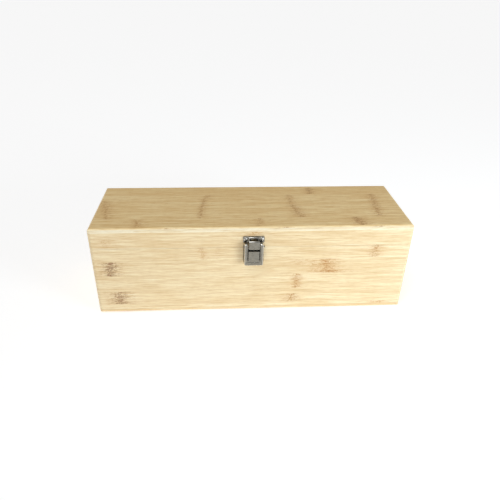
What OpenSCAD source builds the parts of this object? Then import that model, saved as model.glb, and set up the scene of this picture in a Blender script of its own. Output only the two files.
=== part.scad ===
// Long bamboo box with a hinged lid and a draw latch, for brushes.
// Six mitred boards make a closed box, which is rounded over and then sawn into a body and a lid.
// X runs along the front, Y to the back, Z up. The origin is the middle of the underside.

/* [Box] */
// Length of the box along its front
box_length = 350; // [200:1:500]
// Depth of the box from front to back
box_depth = 112; // [80:1:200]
// Height of the closed box
box_height = 108; // [70:1:180]
// Thickness of the bamboo boards
board = 8; // [6:0.5:12]
// Radius of every outer edge
edge_radius = 4.4; // [1:0.1:5]
// Height of the lid, from the saw cut to the top
lid_height = 24; // [20:0.5:40]
// Width of the saw cut between lid and body when closed
seam_gap = 0.15; // [0.1:0.05:0.6]
// Small chamfer along the sawn outer edges
seam_chamfer = 0.2; // [0.1:0.05:1]

/* [Hinges] */
// Distance of each hinge's middle from the end of the box
hinge_inset = 62; // [30:1:90]
// Width of a hinge along its pin
hinge_width = 25; // [20:0.5:40]
// Height of a leaf above or below the pin's axis
leaf_height = 10.5; // [9:0.25:14]
// Thickness of a leaf
leaf_thickness = 1; // [0.6:0.1:1.5]
// Radius of a leaf's corners
leaf_corner = 1.2; // [0.5:0.1:2]
// Number of knuckles on a hinge
knuckles = 5; // [3:2:7]
// Diameter of the knuckles
knuckle_d = 3.8; // [3.2:0.1:5]
// Diameter of the hinge pin
hinge_pin_d = 2; // [1.2:0.1:2.2]
// Distance between the two screws of a leaf
leaf_screw_pitch = 15; // [10:0.5:18]
// Gap between the knuckles and the wood
knuckle_stand = 0.3; // [0.2:0.05:0.6]
// Gap on each side of a knuckle
knuckle_gap = 0.1; // [0.05:0.01:0.2]
// Thickness of the peened heads on the hinge pin
peg_head_height = 0.5; // [0.3:0.05:0.8]

/* [Latch] */
// How far the latch sits to the right of the middle
latch_offset = 0; // [-60:0.5:60]
// Thickness of the latch's sheet metal
sheet = 0.9; // [0.7:0.05:1]
// Width of the lever where it meets the wood
lever_width = 23; // [22:0.5:30]
// How far each side of the lever leans in between the wood and its face
lever_draft = 1.5; // [0:0.1:1.6]
// How far the lever's face stands out from the wood
lever_depth = 7.2; // [7:0.1:9]
// Length of the lever below its pivot
lever_reach = 23; // [20:0.5:35]
// Radius of the lever's lower corners
lever_corner = 5; // [2:0.1:6]
// Radius of the lever's shoulders, seen from the front
shoulder_corner = 5; // [1.5:0.1:5]
// Rounding of the lever's long front edges
lever_edge = 1.1; // [0.4:0.1:1.2]
// Width of the opening between the lever's two arms
window_width = 13.8; // [12:0.1:15]
// Depth of the dish pressed into the lever's face
dish_depth = 0.35; // [0.1:0.05:0.4]
// Rim left at the sides of the dish
dish_rim = 2.6; // [2:0.1:4]
// Rim left below the dish
dish_foot_rim = 4.6; // [3:0.1:6]
// Radius of the dish's lower corners
dish_corner = 2; // [0.5:0.1:3]
// Width of the slots beside the lever's middle tab
slot_width = 1; // [0.6:0.1:1.4]
// Length of the slots beside the tab
slot_length = 11; // [6:0.1:12]
// Height of the lever's pivot above the saw cut
pivot_rise = 3.6; // [2.4:0.1:4]
// Distance of the lever's pivot from the wood
pivot_out = 4.4; // [4.2:0.1:4.8]
// Diameter of the lever's pin
lever_pin_d = 1.4; // [1:0.1:1.5]
// Diameter of the pin's riveted ends
rivet_d = 2.1; // [1.8:0.1:2.2]
// Height of the pin's riveted ends
rivet_height = 0.7; // [0.4:0.05:0.9]
// Radius round the lever's lower edge, seen from the side
lever_foot_r = 1.6; // [1.2:0.1:2]
// Distance of the base's screws from the latch's middle
base_screw_x = 4.5; // [3:0.1:5]
// How far the base's ears stand out where they leave its plate
ear_heel_out = 1.5; // [1:0.1:2.5]
// How far below the base's upper edge the ears' slope starts
ear_drop = 2; // [1:0.1:4]

/* [Hook and keeper] */
// Width of the hook
hook_width = 11.4; // [8:0.1:11.6]
// How far the hook has slid to the right along its pin
hook_shift = 0.4; // [0:0.05:0.6]
// Width of the tongue at the hook's upper end
tongue_width = 6.4; // [4:0.1:8]
// Height of the hook above the lever's pivot
hook_height = 7.1; // [6:0.1:9]
// How deep the hook's face lies behind the lever's face
hook_recess = 0.3; // [0.1:0.05:0.6]
// Diameter of the hook's pin
hook_pin_d = 1.2; // [1:0.05:1.3]
// Distance of the hook's pin below the lever's pin
hook_drop = 2.2; // [2.1:0.05:2.6]
// How much further out the hook's pin lies than the lever's pin
hook_out = 0.3; // [0:0.05:0.4]
// Gap between the hook and the lever's tab below it
tab_gap = 0.8; // [0.6:0.05:1.2]
// Width of the keeper plate
keeper_width = 23; // [22:0.5:32]
// Height of the keeper plate
keeper_height = 7.4; // [7:0.1:9]
// Radius of the keeper's corners
keeper_corner = 1; // [0.3:0.1:2]
// Width of the hump pressed out of the keeper
hump_width = 10.6; // [9:0.1:11]
// Distance from the wood to the hump's front
hump_out = 2.7; // [2.4:0.05:2.9]
// Radius of the hump's upper and lower edges
hump_edge = 1.3; // [1:0.05:1.4]
// Rise of the hump above the top of the hook
hump_rise = 2.8; // [2.6:0.05:3.2]
// Width of the window in the hump
catch_width = 5.9; // [5:0.1:8]
// Rise of the window above the top of the hook
catch_rise = 1.8; // [1.4:0.05:1.85]
// Distance between the keeper's two screws
keeper_screw_pitch = 17.5; // [16:0.1:24]
// Distance of the keeper's screws below its upper edge
keeper_screw_drop = 3.3; // [2.6:0.1:4]

/* [Screws] */
// Diameter of a screw's shank
shank_d = 2; // [1.4:0.1:2.4]
// Length of a screw under its head
shank_length = 6.5; // [4:0.1:8]
// Diameter of a screw's head
head_d = 4; // [3.2:0.1:4.4]
// Height of a screw's head
head_height = 0.9; // [0.6:0.05:1]
// Length of the cross recess, as a share of the head's diameter
recess_length = 0.6; // [0.4:0.05:0.7]
// Width of the cross recess, as a share of the head's diameter
recess_width = 0.14; // [0.1:0.01:0.2]
// Depth of the cross recess
recess_depth = 0.5; // [0.3:0.05:0.5]

/* [Fits] */
// Radial clearance of a pin in the piece that turns on it
running = 0.05; // [0.02:0.01:0.1]
// Radial clearance of a pin or screw in the piece that holds it
seat = 0.02; // [0.01:0.01:0.04]
// Gap between pieces that pass each other
passing = 0.25; // [0.2:0.01:0.3]
// Gap between a turning piece and the wood
wood_gap = 0.15; // [0.1:0.01:0.2]
// How much wider than a screw's shank the hole in the metal is
screw_play = 0.3; // [0.2:0.05:0.6]
// Least gap between the lever and the base inside it
inside_gap = 0.35; // [0.3:0.01:0.5]

/* [Hidden] */
body_height = box_height - lid_height;
lid_floor = body_height + seam_gap;
half_length = box_length / 2;
half_depth = box_depth / 2;
beyond = 1;

// Hinge pin's axis, measured from the back of the box
knuckle_r = knuckle_d / 2;
hinge_out = knuckle_r + knuckle_stand;
hinge_z = body_height + seam_gap / 2;
knuckle_pitch = hinge_width / knuckles;
hinge_x = half_length - hinge_inset;
leaf_screw_drop = (leaf_height + knuckle_r + passing) / 2;
peg_head_d = (knuckle_d + hinge_pin_d) / 2;

// Lever pin's axis and hook pin's axis, measured from the front of the box
pivot = [pivot_out, body_height + pivot_rise];
hook_pivot = pivot + [hook_out, -hook_drop];
lever_pin_r = lever_pin_d / 2;
hook_pin_r = hook_pin_d / 2;
lever_end_r = pivot_out - wood_gap;
lever_face = lever_depth - pivot_out;
lever_inside = lever_face - sheet;
tab_top = hook_drop + lever_depth - hook_recess - hook_pivot[0] + tab_gap;
lug_wall = 0.65;
lug_r = hook_pin_r + lug_wall;
// Angle from the front at which the sheet over the shoulders ends
wrap_end = 105;
lug_x = window_width / 2;
lean = lever_draft / lever_depth;
// Half the lever's width at a distance out from the wood; inset is the wall left out
function lever_half(out, inset) = lever_width / 2 - lean * out - inset * norm([1, lean]);
rivet_x = lever_half(pivot_out - rivet_d / 2, 0) + running;

// Ears of the latch base, inside the lever's side walls
ear_r = lever_inside - inside_gap;
ear_x = lever_half(pivot_out + ear_r, sheet) - passing - sheet;
base_top = body_height - seam_chamfer;
base_foot = pivot[1] - lever_reach + lever_corner + passing;
ear_heel = [ear_heel_out, base_top];
ear_toe = [pivot_out + ear_r, base_top - ear_drop];
ear_foot = base_foot + head_d;
base_screw_z = base_foot + sheet + head_d * 2 / 3;

// Keeper, whose lower edge lies behind the arc of the lever's shoulders
shoulder_clear = sqrt(pow(lever_end_r, 2) - pow(pivot_out - sheet - passing, 2));
keeper_foot = pivot[1] + shoulder_clear + passing;
keeper_top = keeper_foot + keeper_height;
keeper_screw_z = keeper_top - keeper_screw_drop;
hook_face = lever_depth - hook_recess;
hook_top = pivot[1] + hook_height;
hook_nose = hump_out + passing;
nose_drop = 1.9;
bend_r = 1.3;
eye_wall = 0.5;
eye_r = hook_pin_r + running + eye_wall;
hump_top = hook_top + hump_rise;
catch_foot = hook_top - nose_drop - 2 * passing;
catch_top = hook_top + catch_rise;

bamboo = [0.91, 0.80, 0.60];
bamboo_end = [0.86, 0.73, 0.52];
nickel = [0.60, 0.57, 0.51];
dark_nickel = [0.48, 0.45, 0.40];

// Shape helpers

module round_rect(width, height, radius) {
    square([width - 2 * radius, height], center = true);
    square([width, height - 2 * radius], center = true);
    for (x = [-1, 1], y = [-1, 1])
        translate([x * (width / 2 - radius), y * (height / 2 - radius)])
            circle(radius);
}

// A rectangle from x0 to x1 and y0 to y1
module area(x0, x1, y0, y1) {
    translate([x0, y0])
        square([x1 - x0, y1 - y0]);
}

// A flat shape in Y and Z, drawn out along X
module along_x(width) {
    rotate([90, 0, 90])
        linear_extrude(width, center = true)
            children();
}

// A flat shape in X and Z, drawn out along Y
module along_y(width) {
    rotate([90, 0, 0])
        linear_extrude(width, center = true)
            children();
}

// A shape given by its distance out from the front and its height, at the latch
module at_latch() {
    translate([latch_offset, -half_depth, 0])
        mirror([0, 1, 0])
            children();
}

module pin_x(radius, width) {
    rotate([0, 90, 0])
        cylinder(r = radius, h = width, center = true);
}

// Point where a line from a point touches a circle, on its left (side = 1) or its right (side = -1)
function touch(from, centre, radius, side) =
    let (d = centre - from, far = norm(d), turn = side * acos(radius / far),
         back = atan2(-d[1], -d[0]) - turn)
    centre + radius * [cos(back), sin(back)];

// Boards

module closed_block() {
    intersection() {
        linear_extrude(box_height)
            round_rect(box_length, box_depth, edge_radius);
        translate([0, 0, box_height / 2])
            along_x(box_length)
                round_rect(box_depth, box_height, edge_radius);
        translate([0, 0, box_height / 2])
            along_y(box_depth)
                round_rect(box_length, box_height, edge_radius);
    }
}

// Long board at the front (side = -1) or the back (side = 1), mitred on all four edges
module long_board(side) {
    outer = side * half_depth;
    inner = side * (half_depth - board);
    intersection() {
        closed_block();
        linear_extrude(box_height)
            polygon([[-half_length, outer], [half_length, outer],
                     [half_length - board, inner], [board - half_length, inner]]);
        along_x(box_length)
            polygon([[outer, 0], [outer, box_height], [inner, box_height - board], [inner, board]]);
    }
}

// End board at the left (side = -1) or the right (side = 1)
module end_board(side) {
    outer = side * half_length;
    inner = side * (half_length - board);
    intersection() {
        closed_block();
        linear_extrude(box_height)
            polygon([[outer, -half_depth], [outer, half_depth],
                     [inner, half_depth - board], [inner, board - half_depth]]);
        along_y(box_depth)
            polygon([[outer, 0], [outer, box_height], [inner, box_height - board], [inner, board]]);
    }
}

// Board with its outer face at one height and its inner face at another
module flat_board(outer, inner) {
    intersection() {
        closed_block();
        along_x(box_length)
            polygon([[-half_depth, outer], [half_depth, outer],
                     [half_depth - board, inner], [board - half_depth, inner]]);
        along_y(box_depth)
            polygon([[-half_length, outer], [half_length, outer],
                     [half_length - board, inner], [board - half_length, inner]]);
    }
}

// Side view of a sawn half: the sawn edge is chamfered
module sawn_outline(half_width, cut, far) {
    slope = cut > far ? -seam_chamfer : seam_chamfer;
    polygon([[-half_width, far], [half_width, far], [half_width, cut + slope],
             [half_width - seam_chamfer, cut], [seam_chamfer - half_width, cut],
             [-half_width, cut + slope]]);
}

module sawn(cut, far) {
    intersection() {
        children();
        along_x(box_length + beyond)
            sawn_outline(half_depth, cut, far);
        along_y(box_depth + beyond)
            sawn_outline(half_length, cut, far);
    }
}

module body_part() {
    sawn(body_height, -beyond)
        children();
}

module lid_part() {
    sawn(lid_floor, box_height + beyond)
        children();
}

// Pan-head wood screws. Each stands on z = 0 with its head up.

module screw() {
    dome_r = (pow(head_d / 2, 2) + pow(head_height, 2)) / (2 * head_height);
    slot = [head_d * recess_length, head_d * recess_width, beyond];
    tip = shank_d;
    difference() {
        union() {
            intersection() {
                translate([0, 0, head_height - dome_r])
                    sphere(dome_r);
                cylinder(d = head_d, h = head_height);
            }
            translate([0, 0, tip - shank_length])
                cylinder(d = shank_d, h = shank_length - tip);
            translate([0, 0, -shank_length])
                cylinder(d1 = 0, d2 = shank_d, h = tip);
        }
        for (a = [45, 135])
            rotate([0, 0, a])
                translate([-slot[0] / 2, -slot[1] / 2, head_height - recess_depth])
                    cube(slot);
    }
}

// Pilot hole for the same screw, from a little above the wood
module pilot() {
    translate([0, 0, -shank_length])
        cylinder(d = shank_d + 2 * seat, h = shank_length + beyond);
}

// Hole in the sheet under a screw's head, through a plate that starts at z = 0
module clearance_hole(thickness) {
    translate([0, 0, -beyond])
        cylinder(d = shank_d + screw_play, h = thickness + 2 * beyond);
}

// Places on the front of the box: distance out from the wood, then height
module on_front(x, out, z) {
    translate([latch_offset + x, -half_depth - out, z])
        rotate([90, 0, 0])
            children();
}

module on_back(x, out, z) {
    translate([x, half_depth + out, z])
        rotate([-90, 0, 0])
            children();
}

module keeper_screw_places(out) {
    for (side = [-1, 1])
        on_front(side * keeper_screw_pitch / 2, out, keeper_screw_z)
            children();
}

module base_screw_places(out) {
    for (side = [-1, 1])
        on_front(side * base_screw_x, out, base_screw_z)
            children();
}

// Hinge screws in the body (up = -1) or the lid (up = 1)
module hinge_screw_places(out, up) {
    for (hinge = [-1, 1], side = [-1, 1])
        on_back(hinge * hinge_x + side * leaf_screw_pitch / 2, out, hinge_z + up * leaf_screw_drop)
            children();
}

// Wooden parts

module front_panel() {
    color(bamboo)
        difference() {
            body_part()
                long_board(-1);
            base_screw_places(0)
                pilot();
        }
}

module back_panel() {
    color(bamboo)
        difference() {
            body_part()
                long_board(1);
            hinge_screw_places(0, -1)
                pilot();
        }
}

module end_panel(side) {
    color(bamboo_end)
        body_part()
            end_board(side);
}

module bottom_panel() {
    color(bamboo)
        flat_board(0, board);
}

module lid_top_panel() {
    color(bamboo)
        flat_board(box_height, box_height - board);
}

module lid_front_rail() {
    color(bamboo)
        difference() {
            lid_part()
                long_board(-1);
            keeper_screw_places(0)
                pilot();
        }
}

module lid_back_rail() {
    color(bamboo)
        difference() {
            lid_part()
                long_board(1);
            hinge_screw_places(0, 1)
                pilot();
        }
}

module lid_end_rail(side) {
    color(bamboo_end)
        lid_part()
            end_board(side);
}

// Hinges. The body leaf has the odd knuckles and the lid leaf the even ones.

module knuckle_place(i) {
    translate([(i - (knuckles - 1) / 2) * knuckle_pitch, 0, 0])
        children();
}

// Flat of a leaf in X and Z, from below the barrel to its outer edge
module leaf_flat() {
    near = knuckle_r + passing;
    translate([0, (near + leaf_height) / 2])
        round_rect(hinge_width, leaf_height - near, leaf_corner);
    translate([0, near + leaf_corner])
        square([hinge_width, 2 * leaf_corner], center = true);
}

// One leaf, standing above its pin's axis, with the knuckles of the given parity
module hinge_leaf(parity) {
    difference() {
        union() {
            translate([0, leaf_thickness / 2, 0])
                along_y(leaf_thickness)
                    leaf_flat();
            for (i = [parity : 2 : knuckles - 1])
                knuckle_place(i) {
                    translate([0, leaf_thickness / 2, (knuckle_r + passing) / 2])
                        cube([knuckle_pitch - 2 * knuckle_gap, leaf_thickness, knuckle_r + passing],
                             center = true);
                    translate([0, hinge_out, 0])
                        pin_x(knuckle_r, knuckle_pitch - 2 * knuckle_gap);
                }
        }
        translate([0, hinge_out, 0])
            pin_x(hinge_pin_d / 2 + running, hinge_width + beyond);
        for (side = [-1, 1])
            translate([side * leaf_screw_pitch / 2, 0, leaf_screw_drop])
                rotate([-90, 0, 0])
                    clearance_hole(leaf_thickness);
    }
}

module hinge_body_leaf(side) {
    color(nickel)
        translate([side * hinge_x, half_depth, hinge_z])
            mirror([0, 0, 1])
                hinge_leaf(0);
}

module hinge_lid_leaf(side) {
    color(nickel)
        translate([side * hinge_x, half_depth, hinge_z])
            hinge_leaf(1);
}

module hinge_pin(side) {
    color(dark_nickel)
        translate([side * hinge_x, half_depth + hinge_out, hinge_z]) {
            pin_x(hinge_pin_d / 2, hinge_width);
            for (end = [-1, 1])
                translate([end * (hinge_width + peg_head_height) / 2, 0, 0])
                    pin_x(peg_head_d / 2, peg_head_height);
        }
}

module hinge_screws(up) {
    color(nickel)
        hinge_screw_places(leaf_thickness, up)
            screw();
}

// Keeper on the lid: a plate with a hump pressed out of it, whose window takes the hook's tongue

// Side view of the hump; inset is the wall left out
module hump_side(inset) {
    front = hump_out - inset;
    top = hump_top - inset;
    foot = keeper_foot + inset;
    radius = hump_edge - inset;
    back = inset > 0 ? -beyond : 0;
    area(back, front - radius, foot, top);
    area(back, front, foot + radius, top - radius);
    for (z = [foot + radius, top - radius])
        translate([front - radius, z])
            circle(radius);
}

module keeper_plate() {
    color(nickel)
        difference() {
            at_latch()
                difference() {
                    union() {
                        translate([0, sheet / 2, (keeper_foot + keeper_top) / 2])
                            along_y(sheet)
                                round_rect(keeper_width, keeper_height, keeper_corner);
                        along_x(hump_width)
                            hump_side(0);
                    }
                    along_x(hump_width - 2 * sheet)
                        hump_side(sheet);
                    translate([-catch_width / 2, 0, catch_foot])
                        cube([catch_width, hump_out + beyond, catch_top - catch_foot]);
                }
            keeper_screw_places(0)
                clearance_hole(sheet);
        }
}

module keeper_screws() {
    color(nickel)
        keeper_screw_places(sheet)
            screw();
}

// Base on the body: a plate with two ears that carry the lever's pin

module ear_profile() {
    translate(pivot)
        circle(ear_r);
    polygon([[0, ear_foot], [0, base_top], ear_heel, touch(ear_heel, pivot, ear_r, 1),
             pivot, touch(ear_toe, pivot, ear_r, -1), ear_toe, [sheet, ear_foot]]);
}

module latch_base() {
    color(dark_nickel)
        difference() {
            at_latch()
                difference() {
                    union() {
                        translate([0, sheet / 2, (base_foot + base_top) / 2])
                            cube([2 * (ear_x + sheet), sheet, base_top - base_foot], center = true);
                        for (side = [-1, 1])
                            translate([side * (ear_x + sheet / 2), 0, 0])
                                along_x(sheet)
                                    ear_profile();
                    }
                    translate([0, pivot[0], pivot[1]])
                        pin_x(lever_pin_r + seat, lever_width);
                }
            base_screw_places(0)
                clearance_hole(sheet);
        }
}

module latch_base_screws() {
    color(nickel)
        base_screw_places(sheet)
            screw();
}

module lever_pin() {
    color(dark_nickel)
        at_latch()
            translate([0, pivot[0], pivot[1]]) {
                pin_x(lever_pin_r, 2 * rivet_x);
                for (side = [-1, 1])
                    translate([side * (rivet_x + rivet_height / 2), 0, 0])
                        pin_x(rivet_d / 2, rivet_height);
            }
}

// Lever. Its profiles are measured from its pivot: first outwards, then upwards.

// Side view. The end turns about the pivot just clear of the wood; inset is the wall left out.
module lever_side(inset) {
    face = lever_face - inset;
    foot = inset - lever_reach;
    foot_r = lever_foot_r - inset;
    back = inset > 0 ? -lever_end_r - beyond : -lever_end_r;
    intersection() {
        circle(lever_end_r - inset);
        area(-lever_end_r, face, 0, lever_end_r);
    }
    area(back, face, foot + foot_r, 0);
    area(back, face - foot_r, foot, foot + foot_r);
    translate([face - foot_r, foot + foot_r])
        circle(foot_r);
}

// Front view, with round shoulders and round lower corners
module lever_front(inset) {
    half = lever_width / 2 - inset;
    foot = inset - lever_reach;
    top = lever_end_r - inset;
    low_r = lever_corner - inset;
    top_r = shoulder_corner - inset;
    area(-half, half, foot + low_r, top - top_r);
    area(low_r - half, half - low_r, foot, foot + low_r);
    area(top_r - half, half - top_r, top - top_r, top);
    for (side = [-1, 1]) {
        translate([side * (half - low_r), foot + low_r])
            circle(low_r);
        translate([side * (half - top_r), top - top_r])
            circle(top_r);
    }
}

// Top view. The sides lean in, and the long front edges are rounded.
module lever_plan() {
    centre = [lever_half(lever_depth - lever_edge, lever_edge), lever_face - lever_edge];
    side = centre + lever_edge * [1, lean] / norm([1, lean]);
    back = [lever_half(wood_gap, 0), -lever_end_r];
    polygon([back, side, [centre[0], lever_face], [-centre[0], lever_face],
             [-side[0], side[1]], [-back[0], back[1]]]);
    for (x = [-centre[0], centre[0]])
        translate([x, centre[1]])
            circle(lever_edge);
}

// Top view of the space inside the lever's walls
module hollow_plan() {
    front = lever_half(lever_depth - sheet, sheet);
    back = lever_half(wood_gap - beyond, sheet);
    polygon([[-front, lever_inside], [front, lever_inside],
             [back, -lever_end_r - beyond], [-back, -lever_end_r - beyond]]);
}

// A top view, drawn out over the height of the lever
module lever_tall() {
    translate([0, 0, -2 * lever_reach])
        linear_extrude(3 * lever_reach)
            children();
}

module lever_shell() {
    difference() {
        intersection() {
            along_x(lever_width)
                lever_side(0);
            along_y(4 * lever_depth)
                lever_front(0);
            lever_tall()
                lever_plan();
        }
        intersection() {
            lever_tall()
                hollow_plan();
            union() {
                intersection() {
                    along_x(lever_width)
                        lever_side(sheet);
                    along_y(4 * lever_depth)
                        lever_front(sheet);
                }
                // Open back of the shoulders
                along_x(lever_width)
                    polygon([[0, 0], 2 * lever_end_r * [cos(wrap_end), sin(wrap_end)],
                             [-2 * lever_end_r, 2 * lever_end_r], [-2 * lever_end_r, 0]]);
            }
        }
    }
}

// Everything that is open in the lever's face, in X and Z
module lever_openings() {
    area(-window_width / 2, window_width / 2, -tab_top, lever_end_r + beyond);
    for (side = [-1, 1])
        translate([side * (window_width - slot_width) / 2, 0]) {
            area(-slot_width / 2, slot_width / 2, -tab_top - slot_length, -tab_top + beyond);
            translate([0, -tab_top - slot_length])
                circle(slot_width / 2);
        }
}

module lever_lug() {
    difference() {
        union() {
            translate([hook_out, -hook_drop])
                circle(lug_r);
            area(hook_out, lever_inside + sheet / 4, -hook_drop - lug_r, lug_r - hook_drop);
        }
        circle(lever_pin_r + passing);
        translate([hook_out, -hook_drop])
            circle(hook_pin_r + seat);
    }
}

module latch_lever() {
    dish_width = 2 * (lever_half(lever_depth, 0) - dish_rim);
    dish_height = lever_reach + lever_end_r;
    dish_foot = dish_foot_rim - lever_reach;
    color(nickel)
        at_latch()
            translate([0, pivot[0], pivot[1]]) {
                difference() {
                    lever_shell();
                    translate([0, lever_face, 0])
                        along_y(4 * lever_depth)
                            lever_openings();
                    // Dish pressed into the face
                    translate([0, lever_face, dish_foot + dish_height / 2])
                        along_y(2 * dish_depth)
                            round_rect(dish_width, dish_height, dish_corner);
                    pin_x(lever_pin_r + running, lever_width + beyond);
                }
                for (side = [-1, 1])
                    translate([side * (lug_x + sheet / 2), 0, 0])
                        along_x(sheet)
                            lever_lug();
            }
}

// Hook. Its lower end rolls round its pin and its upper end turns in to the keeper's window.

module hook_corner(x, z, toward_z) {
    intersection() {
        translate([x, z])
            difference() {
                circle(bend_r);
                circle(bend_r - sheet);
            }
        area(x, x + bend_r, min(z, z + toward_z * bend_r), max(z, z + toward_z * bend_r));
    }
}

// Side view of the hook as far as its upper bend
module hook_profile() {
    foot = hook_pivot[1] - eye_r;
    area(hook_face - sheet, hook_face, foot + bend_r, hook_top - bend_r);
    hook_corner(hook_face - bend_r, hook_top - bend_r, 1);
    hook_corner(hook_face - bend_r, foot + bend_r, -1);
    area(hook_pivot[0], hook_face - bend_r, foot, foot + sheet);
    translate(hook_pivot)
        circle(eye_r);
}

// Side view of the tongue, which turns in and down in front of the keeper's hump
module tongue_profile() {
    area(hook_nose, hook_face - bend_r, hook_top - sheet, hook_top);
    area(hook_nose, hook_nose + sheet, hook_top - nose_drop, hook_top);
}

module at_hook() {
    at_latch()
        translate([hook_shift, 0, 0])
            children();
}

module latch_hook() {
    color(nickel)
        at_hook()
            difference() {
                union() {
                    along_x(hook_width)
                        hook_profile();
                    along_x(tongue_width)
                        tongue_profile();
                }
                translate([0, hook_pivot[0], hook_pivot[1]])
                    pin_x(hook_pin_r + running, hook_width + beyond);
            }
}

module hook_pin() {
    color(dark_nickel)
        at_latch()
            translate([0, hook_pivot[0], hook_pivot[1]])
                pin_x(hook_pin_r, window_width + 2 * sheet + 4 * running);
}

front_panel();
back_panel();
end_panel(-1);  // left_end_panel
end_panel(1);  // right_end_panel
bottom_panel();
lid_top_panel();
lid_front_rail();
lid_back_rail();
lid_end_rail(-1);  // lid_left_rail
lid_end_rail(1);  // lid_right_rail
hinge_body_leaf(-1);  // left_hinge_body_leaf
hinge_lid_leaf(-1);  // left_hinge_lid_leaf
hinge_pin(-1);  // left_hinge_pin
hinge_body_leaf(1);  // right_hinge_body_leaf
hinge_lid_leaf(1);  // right_hinge_lid_leaf
hinge_pin(1);  // right_hinge_pin
hinge_screws(-1);  // hinge_body_screws
hinge_screws(1);  // hinge_lid_screws
keeper_plate();
keeper_screws();
latch_base();
latch_base_screws();
latch_lever();
lever_pin();
latch_hook();
hook_pin();
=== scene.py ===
import math

import bmesh
import bpy
from mathutils import Matrix, Vector


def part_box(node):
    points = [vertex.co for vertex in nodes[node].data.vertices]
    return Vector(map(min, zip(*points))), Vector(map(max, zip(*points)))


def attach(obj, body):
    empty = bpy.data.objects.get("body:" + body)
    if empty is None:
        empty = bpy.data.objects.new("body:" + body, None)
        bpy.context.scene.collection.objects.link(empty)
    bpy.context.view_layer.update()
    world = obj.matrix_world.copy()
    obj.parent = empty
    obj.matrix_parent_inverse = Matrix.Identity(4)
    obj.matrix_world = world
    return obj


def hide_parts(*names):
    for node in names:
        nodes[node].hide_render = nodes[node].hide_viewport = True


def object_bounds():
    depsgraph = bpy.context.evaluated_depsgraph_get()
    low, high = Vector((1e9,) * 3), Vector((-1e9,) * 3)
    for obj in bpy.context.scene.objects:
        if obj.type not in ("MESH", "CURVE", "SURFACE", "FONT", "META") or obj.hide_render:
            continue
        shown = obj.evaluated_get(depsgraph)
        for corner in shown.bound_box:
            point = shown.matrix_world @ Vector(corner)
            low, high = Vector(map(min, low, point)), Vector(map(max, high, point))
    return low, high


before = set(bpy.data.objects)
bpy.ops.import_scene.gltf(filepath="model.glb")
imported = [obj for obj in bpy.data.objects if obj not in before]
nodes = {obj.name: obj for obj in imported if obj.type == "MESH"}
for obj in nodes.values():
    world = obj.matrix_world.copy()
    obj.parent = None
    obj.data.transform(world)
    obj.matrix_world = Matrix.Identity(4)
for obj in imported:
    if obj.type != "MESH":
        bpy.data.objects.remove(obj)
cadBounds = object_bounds()
mm = 0.001
print("frame loaded:", len(nodes), "nodes")

# Sizes that the looks share, read from the frame and kept in millimetres
halfLength = cadBounds[1].x / mm
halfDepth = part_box("lid_top_panel")[1].y / mm
topZ = cadBounds[1].z / mm


# The camera stands where the photograph was taken from
cameraView = {
    "place": (-0.0359, -0.5059, 0.3473),
    "pan": -4.07,
    "tilt": 59.42,
    "roll": 1.136,
    "lens": 34.805,
}


def turned(angle, axis):
    return Matrix.Rotation(math.radians(angle), 4, axis)


def makeCamera(spec):
    data = bpy.data.cameras.new("camera")
    data.lens = spec["lens"]
    data.sensor_width = 36
    data.clip_start = 0.01
    camera = bpy.data.objects.new("camera", data)
    bpy.context.collection.objects.link(camera)
    turn = turned(spec["pan"], "Z") @ turned(spec["tilt"], "X") @ turned(spec["roll"], "Z")
    camera.matrix_world = Matrix.Translation(spec["place"]) @ turn
    bpy.context.scene.camera = camera


makeCamera(cameraView)
print("camera placed")


class Wire:
    # A node's output that can stand in a sum
    def __init__(self, graph, socket):
        self.graph = graph
        self.socket = socket

    def __add__(self, other):
        return self.graph.maths("ADD", self, other)

    __radd__ = __add__

    def __sub__(self, other):
        return self.graph.maths("SUBTRACT", self, other)

    def __rsub__(self, other):
        return self.graph.maths("SUBTRACT", other, self)

    def __mul__(self, other):
        return self.graph.maths("MULTIPLY", self, other)

    __rmul__ = __mul__

    def __truediv__(self, other):
        return self.graph.maths("DIVIDE", self, other)

    def __rtruediv__(self, other):
        return self.graph.maths("DIVIDE", other, self)

    def __gt__(self, other):
        return self.graph.maths("GREATER_THAN", self, other)

    def __abs__(self):
        return self.graph.maths("ABSOLUTE", self)


class Graph:
    # Makes the nodes of one tree and wires them up
    def __init__(self, tree):
        self.tree = tree

    def node(self, kind, settings=None, values=None, output=0):
        made = self.tree.nodes.new(kind)
        for key, setting in (settings or {}).items():
            setattr(made, key, setting)
        for key, value in (values or {}).items():
            if isinstance(value, Wire):
                self.tree.links.new(value.socket, made.inputs[key])
            else:
                made.inputs[key].default_value = value
        return Wire(self, made.outputs[output])

    def maths(self, operation, *values):
        return self.node("ShaderNodeMath", {"operation": operation}, dict(enumerate(values)))

    def clamp(self, value):
        return self.node("ShaderNodeClamp", {}, {0: value})

    # 0 below low, 1 above high, smooth between
    def step(self, value, low, high):
        return self.node("ShaderNodeMapRange", {"interpolation_type": "SMOOTHSTEP"},
                         {0: value, 1: low, 2: high})

    # A bell of height 1 round zero
    def bell(self, value):
        return self.maths("EXPONENT", -1 * (value * value))

    def vector(self, x, y, z):
        return self.node("ShaderNodeCombineXYZ", {}, {0: x, 1: y, 2: z})

    def noise(self, x, y, z, detail=2.0, roughness=0.5):
        return self.node("ShaderNodeTexNoise", {"noise_dimensions": "3D"},
                         {"Vector": self.vector(x, y, z), "Scale": 1.0, "Detail": detail,
                          "Roughness": roughness, "Distortion": 0.0})

    def mix(self, amount, first, second):
        made = {0: amount}
        for key, colour in ((6, first), (7, second)):
            made[key] = colour if isinstance(colour, Wire) else (*colour, 1)
        return self.node("ShaderNodeMix", {"data_type": "RGBA", "blend_type": "MIX"}, made, output=2)


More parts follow.
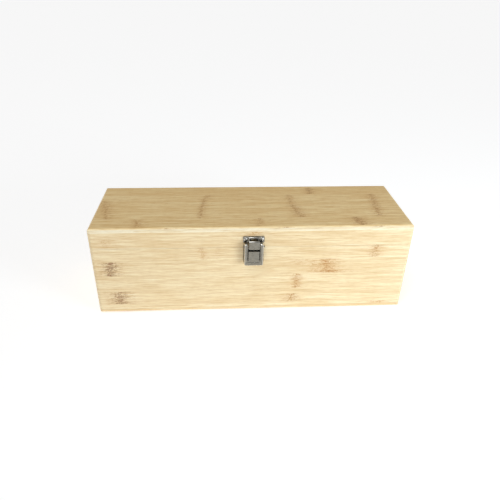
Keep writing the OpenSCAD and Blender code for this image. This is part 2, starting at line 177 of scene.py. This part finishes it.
class Finish(Graph):
    # A material, with its object coordinates in millimetres at hand
    def __init__(self, name):
        self.material = bpy.data.materials.new(name)
        self.material.use_nodes = True
        super().__init__(self.material.node_tree)
        self.tree.nodes.clear()
        place = self.node("ShaderNodeTexCoord", output=3)
        scaled = self.node("ShaderNodeVectorMath", {"operation": "SCALE"}, {0: place, 3: 1 / mm})
        split = self.tree.nodes.new("ShaderNodeSeparateXYZ")
        self.tree.links.new(scaled.socket, split.inputs[0])
        self.x, self.y, self.z = (Wire(self, out) for out in split.outputs)

    # depth is how far the height stands out, in millimetres
    def surface(self, values, height=None, depth=0.1):
        if height is not None:
            values["Normal"] = self.node("ShaderNodeBump", {},
                                         {"Height": height, "Distance": depth * mm, "Strength": 1.0})
        shader = self.node("ShaderNodeBsdfPrincipled", {}, values)
        self.tree.links.new(shader.socket, self.tree.nodes.new("ShaderNodeOutputMaterial").inputs[0])
        return self.material


# Bamboo boards, in millimetres. Strips run along the board and are glued edge to edge.
# tones gives each strip's warmth, from 0, pale, to 1, golden; below 0 it is brighter than pale, which the
# strip along the rounded front top edge uses for a painted highlight.
# A mark is the scar of a bamboo joint: its place along the board at its top and at its bottom,
# its top and bottom edge, its width, its strength, and how dark it is from 0, orange, to 1, brown.
bamboo = {
    # bright is the palest fibre colour, and the painted highlight of the strips along the rounded front
    # top edge
    "bright": (1.0, 0.90, 0.66),
    "pale": (0.91, 0.75, 0.47),
    "warm": (0.80, 0.60, 0.33),
    "fibre": (0.62, 0.41, 0.18),
    "orange": (0.60, 0.31, 0.10),
    "brown": (0.27, 0.145, 0.075),
    "glueLine": (0.60, 0.41, 0.20),
    "roughness": 0.42,
    "coat": 0.25,
    "coatRoughness": 0.25,
    "reliefDepth": 0.05,
    "gluedWidth": (0.04, 0.25),
    # Painted shade: the top's colours get more red and less blue than the front's, the deeper look of the
    # less-lit top beside the brightly lit front
    "topShadeTint": (1.09, 1.0, 0.80),
}

# The fibres' layers, from broad to fine: waves per millimetre along and across the board,
# the noise's detail and roughness, and how much of the tone comes from it
fibreLayers = {
    "cloud": {"along": 0.008, "across": 0.11, "detail": 2.0, "roughness": 0.5, "tone": 1.2},
    "streak": {"along": 0.016, "across": 0.42, "detail": 3.0, "roughness": 0.65, "tone": 2.4},
    "grain": {"along": 0.045, "across": 1.15, "detail": 2.0, "roughness": 0.7, "tone": 2.4},
    "hair": {"along": 0.05, "across": 2.8, "detail": 2.0, "roughness": 0.6, "tone": 1.4},
}

frontStrips = {
    "edges": [4.6, 22.8, 39.6, 58.6, 78.8, 97.6, 102.5],
    "contrast": 1.45,
    # The first strip, on the rounded top edge, has a tone below 0: a painted highlight where the
    # round-over faces the light
    "tones": [-0.75, 0.62, 0.42, 0.55, 0.4, 0.5, 0.25, 0.75],
    "marks": [
        (178, 177, 4.8, 9.5, 7, 0.5, 0.1), (17, 20, 11, 22.5, 8, 0.25, 0.2),
        (119, 121, 23, 39, 4, 0.38, 0.2), (135, 136, 24, 38, 3, 0.14, 0.2),
        (311, 310, 22.9, 38.6, 5, 0.6, 0.45),
        (20, 19, 40, 58.2, 7, 0.85, 0.95), (228, 227, 40, 48, 6, 0.4, 0.1),
        (242, 241, 41, 57, 3, 0.22, 0.1),
        (257, 258, 40, 58.3, 7.5, 0.9, 0.15), (264, 266, 54.5, 58.5, 13, 0.5, 0.1),
        (225, 224, 59, 78.5, 4, 0.7, 0.25), (26.5, 25, 79, 96.5, 8, 0.8, 0.9),
        (220, 220, 86, 97.3, 5.5, 0.75, 0.35), (322, 323, 98.6, 102.4, 8, 0.6, 0.05),
    ],
    "seed": 3.1,
}

topStrips = {
    "edges": [5.5, 26, 88, 108.2],
    "contrast": 2.0,
    # The last strip, on the rounded front edge, has a tone below 0: a painted highlight where the
    # round-over faces the light
    "tones": [0.6, 0.85, 0.42, 0.5, -0.7],
    "marks": [
        (250, 249, 6, 25, 4.5, 0.7, 0.5), (126, 121, 26, 40, 4, 0.5, 0.3),
        (121, 117, 40, 87.5, 3, 0.55, 0.4), (222, 223, 27, 55, 4, 0.5, 0.35),
        (223, 230, 55, 87.5, 5, 0.6, 0.4), (324, 317, 27, 87.5, 4, 0.6, 0.4),
        (7, 17, 40, 87.5, 5, 0.45, 0.4), (50, 53, 88.5, 108, 4.5, 0.5, 0.3),
        (183, 181, 88.5, 107.5, 4, 0.45, 0.3), (290, 294, 88.5, 108, 5.5, 0.75, 0.5),
        (84, 84, 108.4, 113, 5, 0.7, 0.3), (209, 209, 108.4, 113, 5, 0.7, 0.3),
        (311, 311, 108.4, 113, 5, 0.7, 0.4),
    ],
    "seed": 7.7,
}


def evenStrips(first, pitch, count, seed):
    # Strips of one width, with a scar in each at places that look unplanned
    edges = [first + pitch * i for i in range(count)]
    tones = [0.3 + (0.37 * i + 0.13 * seed) % 0.45 for i in range(count + 1)]
    marks = []
    for i, (top, bottom) in enumerate(zip([first - pitch] + edges, edges + [edges[-1] + pitch])):
        place = (97 * i + 61 * seed) % 310 + 20
        width = 5 + i % 2 * 2
        strength = 0.5 + i % 3 * 0.2
        marks.append((place, place + 2 - i % 3 * 2, top + 0.3, bottom - 0.3, width, strength, 0.3))
    return {"edges": edges, "contrast": 1.45, "tones": tones, "marks": marks, "seed": seed}


def bambooScars(wood, u, v, w, strips):
    # How much of the surface is scar, how brown it is, and how far the fibres swing round it
    seed = strips["seed"]
    wander = wood.noise(u * 0.03, v * 0.3, seed, 2.0, 0.6) - 0.5
    dashes = wood.step(wood.noise(u * 0.26, v * 1.2, w * 0.5 + seed, 3.0, 0.65), 0.44, 0.6)
    flecks = wood.step(wood.noise(u * 0.6, v * 0.9, w * 0.75 + seed + 9, 2.0, 0.6), 0.42, 0.6)
    scar, brown, swing = 0.0, 0.0, 0.0
    for first, last, top, bottom, width, strength, dark in strips["marks"]:
        lean = (last - first) / (bottom - top)
        off = (u - v * lean - (first - top * lean) + wander * (1.3 * width)) / width
        inside = wood.step(v, top - 0.2, top + 0.5) * (1 - wood.step(v, bottom - 0.5, bottom + 0.2))
        band = inside * strength
        wide = wood.bell(off * 0.62) * band
        ridge = wood.bell(off * 2.0 + 0.3) * band
        scar = scar + wide * (0.14 + 0.8 * dashes + 0.6 * dashes * flecks) + ridge * 0.7 * flecks
        brown = brown + wide * dark
        swing = swing + wood.bell(off * 0.35) * band
    return scar, brown, swing


def tinted(colour, tint):
    return tuple(part * share for part, share in zip(colour, tint))


def bambooFinish(name, strips, directions, tint=(1, 1, 1)):
    # directions pick the way along, across and through the board from the coordinates
    wood = Finish(name)
    u, v, w = (pick(wood) for pick in directions)
    seed = strips["seed"]

    index = seed
    tone = strips["tones"][0]
    nearEdge = 9.0  # wider than any glue line
    for edge, before, after in zip(strips["edges"], strips["tones"], strips["tones"][1:]):
        past = wood.step(v, edge - 0.1, edge + 0.1)
        index = index + (v > edge)
        tone = tone + past * (after - before)
        nearEdge = wood.maths("MINIMUM", abs(v - edge), nearEdge)
    own = wood.node("ShaderNodeTexWhiteNoise", {"noise_dimensions": "1D"}, {"W": index})

    scar, brown, swing = bambooScars(wood, u, v, w, strips)
    bent = v + swing * (wood.noise(u * 0.06, v * 0.16, seed, 1.0) - 0.5) * 6

    # Each strip's fibres start at a place of its own
    start = own * 400 + u
    layers, fibres = {}, 0.0
    for label, layer in fibreLayers.items():
        along, across = layer["along"], layer["across"]
        made = wood.noise(start * along, bent * across, w * across, layer["detail"], layer["roughness"])
        layers[label] = made - 0.5
        fibres = fibres + layers[label] * layer["tone"]
    streak, grain, hair = layers["streak"], layers["grain"], layers["hair"]
    vessels = wood.step(wood.noise(start * 0.13, bent * 4.2 + 30, w * 4.2, 1.0), 0.56, 0.7)

    mixed = tone + fibres * strips["contrast"]
    body = wood.mix(wood.clamp(mixed), tinted(bamboo["pale"], tint), tinted(bamboo["warm"], tint))
    # Below a tone of 0 the colour goes towards bright: the palest fibres, and on the rounded-edge strips
    # a painted highlight
    body = wood.mix(wood.clamp(-1 * mixed), body, tinted(bamboo["bright"], tint))
    dark = wood.step(streak, 0.05, 0.3) * 0.3 + wood.step(grain, 0.06, 0.3) * 0.4 + vessels * 0.3
    dark = dark * strips["contrast"]
    body = wood.mix(wood.clamp(dark), body, tinted(bamboo["fibre"], tint))
    glue = 1 - wood.step(nearEdge, *bamboo["gluedWidth"])
    body = wood.mix(glue * 0.3, body, bamboo["glueLine"])
    mark = wood.mix(wood.clamp(brown), bamboo["orange"], bamboo["brown"])
    body = wood.mix(wood.clamp(scar), body, mark)

    height = hair * 0.35 + grain * 0.3 + streak * 0.2 - vessels * 0.25 - glue * 0.5 - scar * 0.3
    gloss = bamboo["roughness"] + hair * 0.1 + scar * 0.1
    return wood.surface({"Base Color": body, "Roughness": gloss, "Coat Weight": bamboo["coat"],
                         "Coat Roughness": bamboo["coatRoughness"], "Specular IOR Level": 0.35},
                        height, bamboo["reliefDepth"])


def lengthwise(wood):
    return wood.x + halfLength


def depthwise(wood):
    return wood.y + halfDepth


def downwards(wood):
    return topZ - wood.z


def forwards(wood):
    return halfDepth - wood.y


def acrossLength(wood):
    return wood.x


upright = (lengthwise, downwards, forwards)
level = (lengthwise, forwards, downwards)
atEnd = (depthwise, downwards, acrossLength)
frontWood = bambooFinish("bambooFront", frontStrips, upright)
# The top wears the painted shade tint
topWood = bambooFinish("bambooTop", topStrips, level, bamboo["topShadeTint"])
backWood = bambooFinish("bambooBack", evenStrips(14, 19.3, 5, 5.3), upright)
bottomWood = bambooFinish("bambooBottom", evenStrips(11, 20.2, 5, 2.4), level)
leftWood = bambooFinish("bambooLeftEnd", evenStrips(9, 19.6, 5, 1.6), atEnd)
rightWood = bambooFinish("bambooRightEnd", evenStrips(16, 19.1, 5, 4.2), atEnd)
print("bamboo ready")


# Metal finishes. The latch's near-white edge colour is a painted highlight on bent and rounded edges,
# standing in for the light they catch.
metalRelief = 0.012
metals = {
    "latch": {"colour": (0.265, 0.25, 0.212), "smudge": (0.17, 0.157, 0.128), "roughness": 0.25,
              "paintedEdgeHighlight": (0.86, 0.85, 0.81)},
    "hinge": {"colour": (0.45, 0.42, 0.36), "smudge": (0.34, 0.30, 0.25), "roughness": 0.30},
    "pin": {"colour": (0.30, 0.27, 0.23), "smudge": (0.20, 0.175, 0.15), "roughness": 0.34},
    "screw": {"colour": (0.60, 0.58, 0.53), "smudge": (0.42, 0.39, 0.34), "roughness": 0.22},
}


def metalFinish(name, spec):
    metal = Finish(name)
    x, y, z = metal.x, metal.y, metal.z
    cloud = metal.noise(x * 0.35, y * 0.35, z * 0.35, 3.0, 0.6)
    grain = metal.noise(x * 6, y * 6, z * 6, 2.0, 0.7)
    brushed = metal.noise(x * 9, y * 9, z * 0.6, 2.0, 0.6)
    scratch = metal.step(metal.noise(x * 1.3 + z * 2, y, z * 9 - x * 6, 1.0), 0.68, 0.74)
    smudge = metal.clamp((cloud - 0.45) * 2.2 + (grain - 0.5) * 0.5)
    colour = metal.mix(smudge, spec["colour"], spec["smudge"])
    gloss = spec["roughness"] + smudge * 0.1 + (brushed - 0.5) * 0.12 + scratch * 0.12
    height = grain * 0.3 + brushed * 0.5 - scratch * 0.5
    # Painted highlight: faces that lie aslant to every axis, the rounded edges, get the near-white edge
    # colour
    if "paintedEdgeHighlight" in spec:
        facing = metal.tree.nodes.new("ShaderNodeSeparateXYZ")
        metal.tree.links.new(metal.node("ShaderNodeTexCoord", output=1).socket, facing.inputs[0])
        flat = 0.0
        for out in facing.outputs:
            flat = metal.maths("MAXIMUM", flat, abs(Wire(metal, out)))
        bright = 1 - metal.step(flat, 0.80, 0.955)
        colour = metal.mix(bright * 0.9, colour, spec["paintedEdgeHighlight"])
        gloss = gloss - bright * 0.04
    return metal.surface({"Base Color": colour, "Metallic": 1.0, "Roughness": gloss}, height, metalRelief)


finishes = {name: metalFinish(name + "Metal", spec) for name, spec in metals.items()}
print("metals ready")


def wear(node, material):
    # A CAD node keeps its mesh and gets a finish
    mesh = nodes[node].data
    mesh.materials.clear()
    mesh.materials.append(material)


woodOf = {
    "front_panel": frontWood, "lid_front_rail": frontWood,
    "back_panel": backWood, "lid_back_rail": backWood,
    "left_end_panel": leftWood, "lid_left_rail": leftWood,
    "right_end_panel": rightWood, "lid_right_rail": rightWood,
    "lid_top_panel": topWood, "bottom_panel": bottomWood,
}
for node, material in woodOf.items():
    wear(node, material)


def newPiece(name, mesh, material):
    piece = bpy.data.objects.new(name, mesh)
    bpy.context.collection.objects.link(piece)
    mesh.materials.clear()
    mesh.materials.append(material)
    return piece


# How sharp edges are rounded. Lengths in millimetres, angles in degrees.
rounding = {"segments": 3, "sharperThan": 35, "mergeWithin": 0.002, "flatWithin": 0.6}


def mergedCopy(node):
    # A CAD mesh is loose triangles, so a copy of it is merged first
    bm = bmesh.new()
    bm.from_mesh(nodes[node].data)
    bmesh.ops.remove_doubles(bm, verts=bm.verts, dist=rounding["mergeWithin"] * mm)
    return bm


def softened(node, name, width, material):
    # A finer copy of a CAD piece whose sharp edges are rounded
    bm = mergedCopy(node)
    flat = math.radians(rounding["flatWithin"])
    bmesh.ops.dissolve_limit(bm, angle_limit=flat, verts=bm.verts, edges=bm.edges)
    mesh = bpy.data.meshes.new(name)
    bm.to_mesh(mesh)
    bm.free()
    piece = newPiece(name, mesh, material)
    bevel = piece.modifiers.new("edges", "BEVEL")
    bevel.width = width * mm
    bevel.segments = rounding["segments"]
    bevel.limit_method = "ANGLE"
    bevel.angle_limit = math.radians(rounding["sharperThan"])
    bevel.use_clamp_overlap = True
    bevel.harden_normals = True
    for face in mesh.polygons:
        face.use_smooth = True
    return piece


# Each metal piece: its name, the width of its rounding, its finish, its body and its slot
pressed = {
    "latch_lever": ("latchLever", 0.26, "latch", "lever", "latch_metal"),
    "latch_hook": ("latchHook", 0.26, "latch", "hook", "latch_metal"),
    "keeper_plate": ("keeperPlate", 0.22, "latch", "lid", "latch_metal"),
    "latch_base": ("latchBase", 0.1, "latch", "box", "latch_metal"),
    "lever_pin": ("leverPin", 0.15, "pin", "box", "pin_steel"),
    "hook_pin": ("hookPin", 0.1, "pin", "lever", "pin_steel"),
    "left_hinge_body_leaf": ("leftBodyLeaf", 0.14, "hinge", "box", "hinge_metal"),
    "right_hinge_body_leaf": ("rightBodyLeaf", 0.14, "hinge", "box", "hinge_metal"),
    "left_hinge_lid_leaf": ("leftLidLeaf", 0.14, "hinge", "lid", "hinge_metal"),
    "right_hinge_lid_leaf": ("rightLidLeaf", 0.14, "hinge", "lid", "hinge_metal"),
    "left_hinge_pin": ("leftHingePin", 0.15, "pin", "box", "pin_steel"),
    "right_hinge_pin": ("rightHingePin", 0.15, "pin", "box", "pin_steel"),
}
for node, (name, width, metal, body, slot) in pressed.items():
    piece = softened(node, name, width, finishes[metal])
    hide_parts(node)
    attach(piece, body)


# Screws: one tree makes a pan head with a cross recess on a pointed shank, and sets one on each seat.
# Sizes are in millimetres, as the CAD has them.
screw = {
    "Head Diameter": 4.0, "Head Height": 0.9, "Shank Diameter": 2.0, "Length": 6.5,
    "Recess Length": 2.5, "Recess Width": 0.56, "Recess Depth": 0.5,
}


class Shaper(Graph):
    # A geometry tree, with its named inputs at hand
    def __init__(self, name, sizes):
        super().__init__(bpy.data.node_groups.new(name, "GeometryNodeTree"))
        sockets = self.tree.interface
        sockets.new_socket("Seats", in_out="INPUT", socket_type="NodeSocketGeometry")
        for label in sizes:
            sockets.new_socket(label, in_out="INPUT", socket_type="NodeSocketFloat")
        sockets.new_socket("Seed", in_out="INPUT", socket_type="NodeSocketInt")
        sockets.new_socket("Screws", in_out="OUTPUT", socket_type="NodeSocketGeometry")
        entry = self.tree.nodes.new("NodeGroupInput")
        self.entry = {out.name: Wire(self, out) for out in entry.outputs}

    def moved(self, shape, height):
        lift = self.vector(0, 0, height)
        return self.node("GeometryNodeTransform", {}, {"Geometry": shape, "Translation": lift})

    def cylinder(self, top, bottom, depth, foot):
        shape = self.node("GeometryNodeMeshCone", {},
                          {"Vertices": 32, "Radius Top": top, "Radius Bottom": bottom, "Depth": depth})
        return self.moved(shape, foot)


def screwTree(material):
    tree = Shaper("screws", screw)
    size = tree.entry
    radius, height = size["Head Diameter"] / 2, size["Head Height"]
    shank = size["Shank Diameter"] / 2
    domeRadius = (radius * radius + height * height) / (2 * height)
    ball = tree.node("GeometryNodeMeshUVSphere", {}, {"Segments": 64, "Rings": 96, "Radius": domeRadius})
    drum = tree.cylinder(radius * 0.985, radius, height * 1.2, 0)
    head = tree.node("GeometryNodeMeshBoolean", {"operation": "INTERSECT"}, {})
    for part in (tree.moved(ball, height - domeRadius), drum):
        tree.tree.links.new(part.socket, head.socket.node.inputs["Mesh 2"])
    for turn in (45, 135):
        slot = tree.node("GeometryNodeMeshCube", {},
                         {"Size": tree.vector(size["Recess Length"], size["Recess Width"], height)})
        slot = tree.moved(slot, height * 1.5 - size["Recess Depth"])
        slot = tree.node("GeometryNodeTransform", {},
                         {"Geometry": slot, "Rotation": (0, 0, math.radians(turn))})
        head = tree.node("GeometryNodeMeshBoolean", {"operation": "DIFFERENCE"},
                         {"Mesh 1": head, "Mesh 2": slot})
    stem = tree.cylinder(shank, shank, size["Length"] - 2 * shank, 2 * shank - size["Length"])
    point = tree.cylinder(shank, 0.0, 2 * shank, -1 * size["Length"])
    whole = tree.node("GeometryNodeJoinGeometry", {}, {})
    for part in (head, stem, point):
        tree.tree.links.new(part.socket, whole.socket.node.inputs[0])
    facing = tree.node("GeometryNodeInputNamedAttribute", {"data_type": "FLOAT"}, {"Name": "facing"})
    spin = tree.node("FunctionNodeRandomValue", {"data_type": "FLOAT"},
                     {"Seed": size["Seed"], 2: 0.0, 3: math.pi}, output=1)
    placed = tree.node("GeometryNodeInstanceOnPoints", {},
                       {"Points": size["Seats"], "Instance": whole,
                        "Rotation": tree.vector(facing, spin, 0)})
    real = tree.node("GeometryNodeRealizeInstances", {}, {"Geometry": placed})
    done = tree.node("GeometryNodeSetMaterial", {}, {"Geometry": real, "Material": material})
    tree.tree.links.new(done.socket, tree.tree.nodes.new("NodeGroupOutput").inputs[0])
    return tree.tree


def screwSeats(node):
    # Where the heads of a CAD node's screws sit, and which way they face
    bm = mergedCopy(node)
    left = set(bm.verts)
    seats = []
    while left:
        island, waiting = set(), [next(iter(left))]
        while waiting:
            vert = waiting.pop()
            if vert not in island:
                island.add(vert)
                waiting.extend(link.other_vert(vert) for link in vert.link_edges)
        left -= island
        low, high = ([pick(vert.co[axis] for vert in island) for axis in range(3)] for pick in (min, max))
        behind = low[1] > 0
        out = high[1] - screw["Head Height"] * mm if behind else low[1] + screw["Head Height"] * mm
        seats.append(((low[0] + high[0]) / 2, out, (low[2] + high[2]) / 2, -1 if behind else 1))
    bm.free()
    return sorted(seats)


def makeScrews(name, body, fromNodes, tree, seed):
    seats = [seat for node in fromNodes for seat in screwSeats(node)]
    mesh = bpy.data.meshes.new(name)
    mesh.from_pydata([seat[:3] for seat in seats], [], [])
    mesh.attributes.new("facing", "FLOAT", "POINT").data.foreach_set(
        "value", [seat[3] * math.pi / 2 for seat in seats])
    holder = newPiece(name, mesh, finishes["screw"])
    modifier = holder.modifiers.new("screws", "NODES")
    modifier.node_group = tree
    values = {label: value * mm for label, value in screw.items()} | {"Seed": seed}
    for item in tree.interface.items_tree:
        if item.name in values and item.in_out == "INPUT":
            modifier[item.identifier] = values[item.name]
    evaluated = holder.evaluated_get(bpy.context.evaluated_depsgraph_get())
    holder.data = bpy.data.meshes.new_from_object(evaluated)
    holder.modifiers.clear()
    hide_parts(*fromNodes)
    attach(holder, body)
    print(name, len(seats), "screws,", len(holder.data.polygons), "faces")


screws = screwTree(finishes["screw"])
makeScrews("boxScrews", "box", ("hinge_body_screws", "latch_base_screws"), screws, 5)
makeScrews("lidScrews", "lid", ("hinge_lid_screws", "keeper_screws"), screws, 11)
print("metal pieces ready")


# Plain pale floor and soft studio light
studio = {
    "floor": (0.90, 0.90, 0.90),
    "floorShade": (0.85, 0.85, 0.85),
    "floorReach": 20,
    "floorGlow": 0.38,
    "air": 0.24,
    "key": {"place": (0.70, -0.60, 0.20), "size": 0.35, "power": 4.0, "colour": (0.90, 0.99, 1.08)},
    "sky": {"from": (-0.28, -0.28, 0.92), "spread": 45, "strength": 1.3},
}


def makeFloor(spec):
    bm = bmesh.new()
    bmesh.ops.create_grid(bm, x_segments=1, y_segments=1, size=spec["floorReach"])
    mesh = bpy.data.meshes.new("floor")
    bm.to_mesh(mesh)
    bm.free()
    paper = Finish("paleFloor")
    tone = paper.noise(paper.x * 0.01, paper.y * 0.01, paper.z, 1.0) * 0.02 + 0.99
    colour = paper.mix(tone, spec["floorShade"], spec["floor"])
    paper.surface({"Base Color": colour, "Roughness": 0.9, "Specular IOR Level": 0.1,
                   "Emission Color": (1, 1, 1, 1), "Emission Strength": spec["floorGlow"]})
    newPiece("floor", mesh, paper.material)


def newLamp(name, kind, power):
    data = bpy.data.lights.new(name, kind)
    data.energy = power
    lamp = bpy.data.objects.new(name, data)
    bpy.context.collection.objects.link(lamp)
    lamp.visible_camera = False
    return lamp


def makeKey(spec):
    lamp = newLamp("key", "AREA", spec["power"])
    lamp.data.size = spec["size"]
    lamp.data.color = spec["colour"]
    lamp.location = spec["place"]
    lamp.rotation_euler = (Vector((0, 0, 0.05)) - lamp.location).to_track_quat("-Z", "Y").to_euler()


def makeSky(spec):
    lamp = newLamp("sky", "SUN", spec["strength"])
    lamp.data.angle = math.radians(spec["spread"])
    lamp.rotation_euler = Vector(spec["from"]).to_track_quat("Z", "Y").to_euler()


def makeStudio(spec):
    makeFloor(spec)
    makeKey(spec["key"])
    makeSky(spec["sky"])
    world = bpy.data.worlds.new("studio")
    world.use_nodes = True
    background = world.node_tree.nodes["Background"]
    background.inputs[0].default_value = (1, 1, 1, 1)
    background.inputs[1].default_value = spec["air"]
    bpy.context.scene.world = world
    bpy.context.scene.view_settings.view_transform = "Standard"


makeStudio(studio)
print("studio lit")
